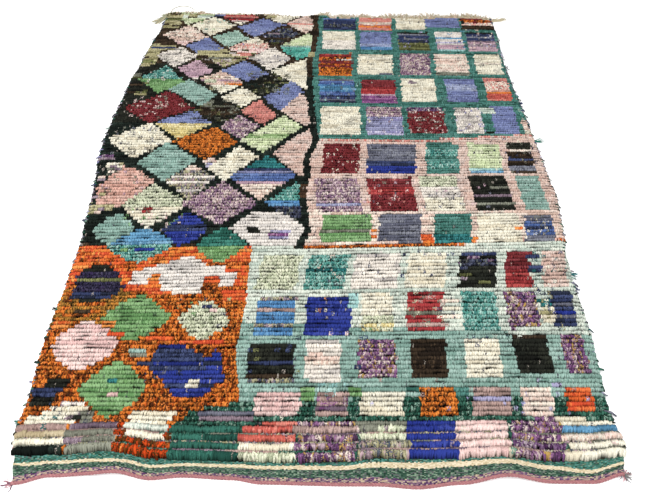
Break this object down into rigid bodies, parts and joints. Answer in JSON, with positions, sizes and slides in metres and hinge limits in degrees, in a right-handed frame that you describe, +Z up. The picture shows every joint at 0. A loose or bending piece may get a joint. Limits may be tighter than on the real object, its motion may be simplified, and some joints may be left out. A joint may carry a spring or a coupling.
{
  "type": "moroccan rug",
  "caption": "Hand-knotted rag-pile rug lying flat, with lozenge and square patchwork panels, a flat-woven end with a twined edge cord and a warp fringe at the other end.",
  "frame": {"origin": "middle of the whole rug's box on the floor it lies on", "axes": "+Y along the rug's length, from the flat-woven front end to the fringed back end; +X across it to the right; +Z up out of the pile"},
  "size_m": [1.6222, 2.4054, 0.029],
  "materials": {
    "rag_pile": "matt knotted pile of cotton and wool rag yarns in many colours",
    "edge_cord_yarn": "matt twined wool cord, dusty pink",
    "warp_yarn": "matt undyed cotton and wool warp ends",
    "tassel_yarn": "matt wool yarn ends, pink and grey"
  },
  "bodies": {
    "root": {"pile_rug": "rag_pile", "edge_cord": "edge_cord_yarn", "warp_fringe": "warp_yarn", "corner_tassel_left": "tassel_yarn", "corner_tassel_right": "tassel_yarn"}
  },
  "joints": []
}
